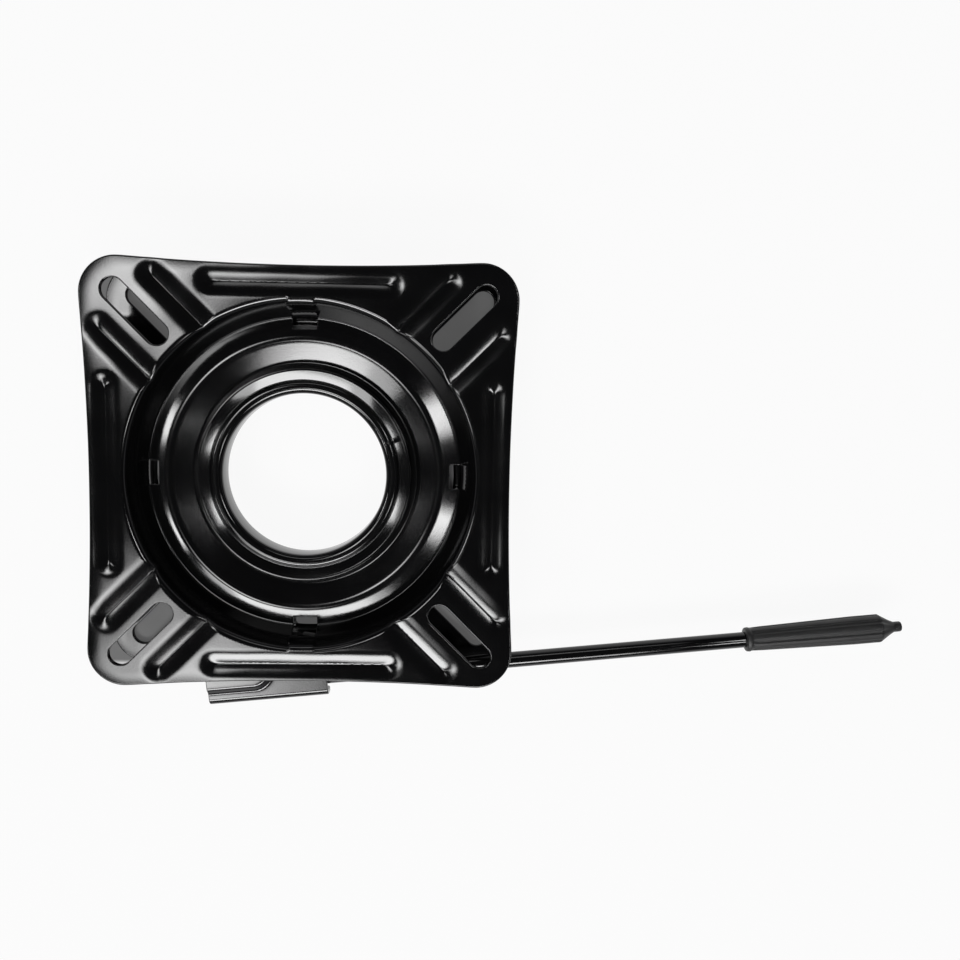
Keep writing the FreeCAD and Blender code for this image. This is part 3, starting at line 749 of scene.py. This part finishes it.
def hub_seam(ring, angle):
    """Presses a short radial nick into the eyelet's upper cone where its rim was closed."""
    across = math.remainder(angle - math.radians(SEAM_ANGLE), 2 * math.pi) * SEAM_RADIUS
    depth = SEAM_DEPTH * math.exp(-(across / SEAM_WIDTH) ** 2)
    radius = np.hypot(ring[:, 0], ring[:, 1])
    on_cone = smooth_step(*SEAM_INNER, radius) * (1 - smooth_step(*SEAM_OUTER, radius))
    ring = ring.copy()
    ring[:, 2] -= depth * (ring[:, 2] > SEAM_MIN_HEIGHT) * on_cone
    return ring


def grip_stations():
    """Sections of the grip: distance along it, radius and share of the flutes' depth."""
    shoulder = GRIP_LENGTH - GRIP_TIP_LENGTH - GRIP_NUB_LENGTH
    stations = list(GRIP_COLLAR)
    for share in np.linspace(0.05, 1.0, 18):
        along = GRIP_BODY_START + (shoulder - GRIP_BODY_SHORTER) * share
        radius = GRIP_NECK_RADIUS + GRIP_SWELL * min(1.0, along / GRIP_SWELL_LENGTH)
        stations.append((along, radius, 1.0))
    tables = [(shoulder, GRIP_SHOULDER), (shoulder + GRIP_TIP_LENGTH, GRIP_TIP), (GRIP_LENGTH, GRIP_END)]
    for start, table in tables:
        stations += [(start + along, radius, share) for along, radius, share in table]
    return stations


def grip_mesh(name):
    """Fluted sleeve: rings of one fluted section along the rod."""
    stations = grip_stations()
    count = FLUTE_STEPS * FLUTE_COUNT
    angles = np.linspace(0, 2 * math.pi, count, endpoint=False)
    period = 2 * math.pi / FLUTE_COUNT
    from_flute = np.abs((angles + period / 2) % period - period / 2)
    points = []
    for along, radius, share in stations:
        across = from_flute * radius
        hollow = np.sqrt(np.maximum(FLUTE_RADIUS ** 2 - across ** 2, 0.0)) - (FLUTE_RADIUS - FLUTE_DEPTH)
        hollow = soft_ramp(hollow, FLUTE_SOFTNESS) * (across < FLUTE_RADIUS) * share
        x = (radius - hollow) * np.cos(angles)
        y = (radius - hollow) * np.sin(angles)
        points.append(np.stack([x, y, np.full(count, along)], 1))
    faces = []
    for row in range(len(stations) - 1):
        low = row * count
        high = low + count
        for k in range(count):
            after = (k + 1) % count
            faces.append((low + k, low + after, high + after, high + k))
    points = np.concatenate(points)
    end = len(points)
    points = np.concatenate([points, [[0.0, 0.0, GRIP_LENGTH]]])
    last = (len(stations) - 1) * count
    faces += [(last + k, last + (k + 1) % count, end) for k in range(count)]
    points[:, 2] += GRIP_START
    return make_object(name, rod_place(points), faces)


def softened_copy(name, node, width):
    """Copy of a CAD node's mesh with its sharp edges rounded."""
    mesh = bpy.data.meshes.new(name)
    work = bmesh.new()
    work.from_mesh(frame["nodes"][node].data)
    bmesh.ops.remove_doubles(work, verts=work.verts, dist=1e-6)
    bmesh.ops.dissolve_limit(work, angle_limit=math.radians(0.6), verts=work.verts, edges=work.edges)
    sharp = [e for e in work.edges if len(e.link_faces) == 2 and e.calc_face_angle(0) > math.radians(22)]
    bmesh.ops.bevel(work, geom=sharp, offset=width * MM, segments=3, profile=0.5, affect="EDGES",
                    clamp_overlap=True)
    for face in work.faces:
        face.smooth = True
    work.to_mesh(mesh)
    work.free()
    made = bpy.data.objects.new(name, mesh)
    scene.collection.objects.link(made)
    mesh.set_sharp_from_angle(angle=math.radians(40))
    return made


def new_material(name):
    material = bpy.data.materials.new(name)
    material.use_nodes = True
    nodes = material.node_tree.nodes
    shader = nodes["Principled BSDF"]
    return material, nodes, material.node_tree.links, shader


def math_node(nodes, links, operation, *values):
    """Output of a math node whose inputs are numbers or other nodes' outputs."""
    node = nodes.new("ShaderNodeMath")
    node.operation = operation
    for socket, value in zip(node.inputs, values):
        if isinstance(value, float):
            socket.default_value = value
        else:
            links.new(value, socket)
    return node.outputs["Value"]


def range_node(nodes, links, value, source, target, interpolation="LINEAR"):
    """Output of a node that maps a value from one range to another."""
    node = nodes.new("ShaderNodeMapRange")
    node.interpolation_type = interpolation
    for name, number in zip(("From Min", "From Max", "To Min", "To Max"), (*source, *target)):
        node.inputs[name].default_value = number
    links.new(value, node.inputs["Value"])
    return node.outputs["Result"]


def colour_node(nodes, links, share, first, second):
    """Output of a node that mixes two colours."""
    node = nodes.new("ShaderNodeMix")
    node.data_type = "RGBA"
    node.inputs["A"].default_value = (*first, 1.0)
    node.inputs["B"].default_value = (*second, 1.0)
    links.new(share, node.inputs["Factor"])
    return node.outputs["Result"]


def noise_node(nodes, links, where, scale, detail):
    """Output of a noise texture."""
    node = nodes.new("ShaderNodeTexNoise")
    node.inputs["Scale"].default_value = scale
    node.inputs["Detail"].default_value = detail
    links.new(where, node.inputs["Vector"])
    return node.outputs["Fac"]


def textured(name, dark, light, roughness, metallic, patch_scale, grain_scale, grain_height):
    """Material whose colour and roughness vary in soft patches, with a fine grain on the surface."""
    material, nodes, links, shader = new_material(name)
    shader.inputs["Metallic"].default_value = metallic
    where = nodes.new("ShaderNodeTexCoord").outputs["Object"]
    patches = noise_node(nodes, links, where, patch_scale, PATCH_DETAIL)
    links.new(colour_node(nodes, links, patches, dark, light), shader.inputs["Base Color"])
    links.new(range_node(nodes, links, patches, PATCH_RANGE, roughness), shader.inputs["Roughness"])
    bump = nodes.new("ShaderNodeBump")
    bump.inputs["Strength"].default_value = 1.0
    bump.inputs["Distance"].default_value = grain_height * MM
    links.new(noise_node(nodes, links, where, grain_scale, GRAIN_DETAIL), bump.inputs["Height"])
    links.new(bump.outputs["Normal"], shader.inputs["Normal"])
    return material


SLOT_MATERIALS = {finish[0]: textured(*finish) for finish in FINISHES}


def finish_piece(piece, body, slot, node):
    """Gives a piece its finish and its body, and hides the CAD node that it stands for."""
    piece.data.materials.clear()
    piece.data.materials.append(SLOT_MATERIALS[slot])
    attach(piece, body)
    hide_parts(node)


def floor_material():
    """White to the camera and in reflections, with painted shade in a patch below the plate, and grey to
    light for the shadow.
    """
    material, nodes, links, shader = new_material("floor_white")
    shader.inputs["Roughness"].default_value = FLOOR_ROUGHNESS
    split = nodes.new("ShaderNodeSeparateXYZ")
    links.new(nodes.new("ShaderNodeTexCoord").outputs["Object"], split.inputs["Vector"])
    level = nodes.new("ShaderNodeCombineXYZ")
    links.new(split.outputs["X"], level.inputs["X"])
    links.new(split.outputs["Y"], level.inputs["Y"])
    from_axis = nodes.new("ShaderNodeVectorMath")
    from_axis.operation = "LENGTH"
    links.new(level.outputs["Vector"], from_axis.inputs[0])
    # Mask of the painted shade: the patch below the plate, less the hub's hole
    painted_shade = math_node(nodes, links, "GREATER_THAN", from_axis.outputs["Value"], PAINTED_SHADE_HOLE_RADIUS)
    for axis, middle, half in PAINTED_SHADE_PATCH:
        shifted = math_node(nodes, links, "SUBTRACT", split.outputs[axis], middle)
        apart = math_node(nodes, links, "ABSOLUTE", shifted)
        within = range_node(nodes, links, apart, (half - PAINTED_SHADE_BLEND, half), (1.0, 0.0), "SMOOTHSTEP")
        painted_shade = math_node(nodes, links, "MULTIPLY", painted_shade, within)
    # Painted shade: darker base colour and less white to the camera in the patch below the plate
    links.new(colour_node(nodes, links, painted_shade, FLOOR_GREY, FLOOR_GREY_PAINTED_SHADE), shader.inputs["Base Color"])
    lit = math_node(nodes, links, "MULTIPLY_ADD", painted_shade, FLOOR_WHITE_PAINTED_SHADE - FLOOR_WHITE, FLOOR_WHITE)
    path = nodes.new("ShaderNodeLightPath")
    seen = path.outputs["Is Camera Ray"]
    for kind in ("Is Glossy Ray", "Is Transmission Ray"):
        seen = math_node(nodes, links, "MAXIMUM", seen, path.outputs[kind])
    white = nodes.new("ShaderNodeEmission")
    white.inputs["Color"].default_value = (1.0, 1.0, 1.0, 1.0)
    white.inputs["Strength"].default_value = 1.0
    mix = nodes.new("ShaderNodeMixShader")
    links.new(math_node(nodes, links, "MULTIPLY", seen, lit), mix.inputs[0])
    links.new(shader.outputs["BSDF"], mix.inputs[1])
    links.new(white.outputs["Emission"], mix.inputs[2])
    links.new(mix.outputs["Shader"], nodes["Material Output"].inputs["Surface"])
    return material


def studio_world():
    """World that is white to the camera, and for the light dim above and paler toward the horizon."""
    world = bpy.data.worlds.new("studio")
    world.use_nodes = True
    nodes = world.node_tree.nodes
    links = world.node_tree.links
    dim = nodes["Background"]
    dim.inputs["Color"].default_value = WORLD_COLOUR
    split = nodes.new("ShaderNodeSeparateXYZ")
    links.new(nodes.new("ShaderNodeTexCoord").outputs["Generated"], split.inputs["Vector"])
    strength = range_node(nodes, links, split.outputs["Z"], HORIZON_RANGE, HORIZON_TO_SKY, "SMOOTHSTEP")
    links.new(strength, dim.inputs["Strength"])
    white = nodes.new("ShaderNodeBackground")
    white.inputs["Color"].default_value = (1.0, 1.0, 1.0, 1.0)
    white.inputs["Strength"].default_value = 1.0
    mix = nodes.new("ShaderNodeMixShader")
    links.new(nodes.new("ShaderNodeLightPath").outputs["Is Camera Ray"], mix.inputs[0])
    links.new(dim.outputs["Background"], mix.inputs[1])
    links.new(white.outputs["Background"], mix.inputs[2])
    links.new(mix.outputs["Shader"], nodes["World Output"].inputs["Surface"])
    return world


def softbox(name, azimuth, elevation, wide, high, radiance, layers):
    """Soft light that faces the object, made of nested layers so that its middle is brightest."""
    across = math.cos(math.radians(elevation))
    toward = Vector((across * math.cos(math.radians(azimuth)), across * math.sin(math.radians(azimuth)),
                     math.sin(math.radians(elevation))))
    for layer, share in enumerate(layers):
        light = bpy.data.lights.new(name, "AREA")
        light.shape = "RECTANGLE"
        light.size = 2 * LIGHT_DISTANCE * math.tan(math.radians(wide * share / 2))
        light.size_y = 2 * LIGHT_DISTANCE * math.tan(math.radians(high * share / 2))
        light.energy = radiance / len(layers) * 4 * light.size * light.size_y
        lamp = bpy.data.objects.new(name, light)
        lamp.location = toward * (LIGHT_DISTANCE + LAYER_GAP * layer)
        lamp.rotation_mode = "QUATERNION"
        lamp.rotation_quaternion = toward.to_track_quat("Z", "Y")
        scene.collection.objects.link(lamp)


# Pieces of the part
seat = pressed_plate("seat_pressing", (0, 1, 2, 3), (0, 1, 2, 3), [], SEAT_SPACING, False)
finish_piece(seat, "seat", "black_paint", "seat_plate")
floor_pressing = pressed_plate("floor_pressing", (0, 1, 3), (FRONT_QUARTER,), [(PIVOT, PIVOT_HOLE_RADIUS)],
                               FLOOR_SPACING, True)
finish_piece(floor_pressing, "base", "black_paint", "floor_plate")
hub = lathe("rolled_hub", hub_profile(), hub_angles(), shift=hub_seam)
finish_piece(hub, "base", "black_paint", "hub_eyelet")
rod_corners = [(0.0, ROD_START, 0.0), (ROD_RADIUS, ROD_START, ROD_END_ROUND),
               (ROD_RADIUS, ROD_END, ROD_END_ROUND), (0.0, ROD_END, 0.0)]
rod_profile = filleted(rod_corners, 5) + (ROD_END_RADIUS, 0.0)
rod_angles = np.linspace(0, 2 * math.pi, ROD_STEPS, endpoint=False)
rod = lathe("round_rod", rod_profile, rod_angles, place=rod_place)
finish_piece(rod, "lever", "black_paint", "lever_rod")
grip = grip_mesh("fluted_grip")
finish_piece(grip, "lever", "grip_plastic", "lever_grip")
arm = lever_arm("pressed_arm")
finish_piece(arm, "lever", "black_paint", "lever_arm")
tooth = softened_copy("steel_tooth", "lock_tooth", TOOTH_ROUND)
finish_piece(tooth, "lever", "black_paint", "lock_tooth")

# Finishes of the nodes that come over from CAD
subparts = {entry["node"]: entry["material_slot"] for entry in frame["record"]["subparts"]}
for node_name, node in frame["nodes"].items():
    node.data.materials.clear()
    node.data.materials.append(SLOT_MATERIALS[subparts[node_name]])

# Studio
floor_z = cad_bounds[0].z - FLOOR_GAP
floor_corners = [(x * FLOOR_REACH, y * FLOOR_REACH, floor_z)
                 for x, y in ((-1, -1), (1, -1), (1, 1), (-1, 1))]
floor_mesh = bpy.data.meshes.new("floor")
floor_mesh.from_pydata(floor_corners, [], [(0, 1, 2, 3)])
floor_mesh.materials.append(floor_material())
floor = bpy.data.objects.new("floor", floor_mesh)
scene.collection.objects.link(floor)
scene.world = studio_world()
for light_values in LIGHTS:
    softbox(*light_values)

# Camera
camera_data = bpy.data.cameras.new("camera")
camera_data.lens = CAMERA_LENS
camera_data.sensor_width = CAMERA_SENSOR
camera_data.clip_start = CAMERA_CLIP[0]
camera_data.clip_end = CAMERA_CLIP[1]
camera = bpy.data.objects.new("camera", camera_data)
turn = Matrix.Identity(3)
for axis, degrees in zip("XYZ", CAMERA_TURNS):
    turn = Matrix.Rotation(math.radians(degrees), 3, axis) @ turn
to_world = turn.transposed()
place = (Vector((0, 0, HALF_HEIGHT)) - to_world @ Vector(CAMERA_SHIFT)) * MM
camera.matrix_world = Matrix.Translation(place) @ to_world.to_4x4()
scene.collection.objects.link(camera)
scene.camera = camera
scene.view_settings.view_transform = "Standard"

bpy.context.view_layer.update()
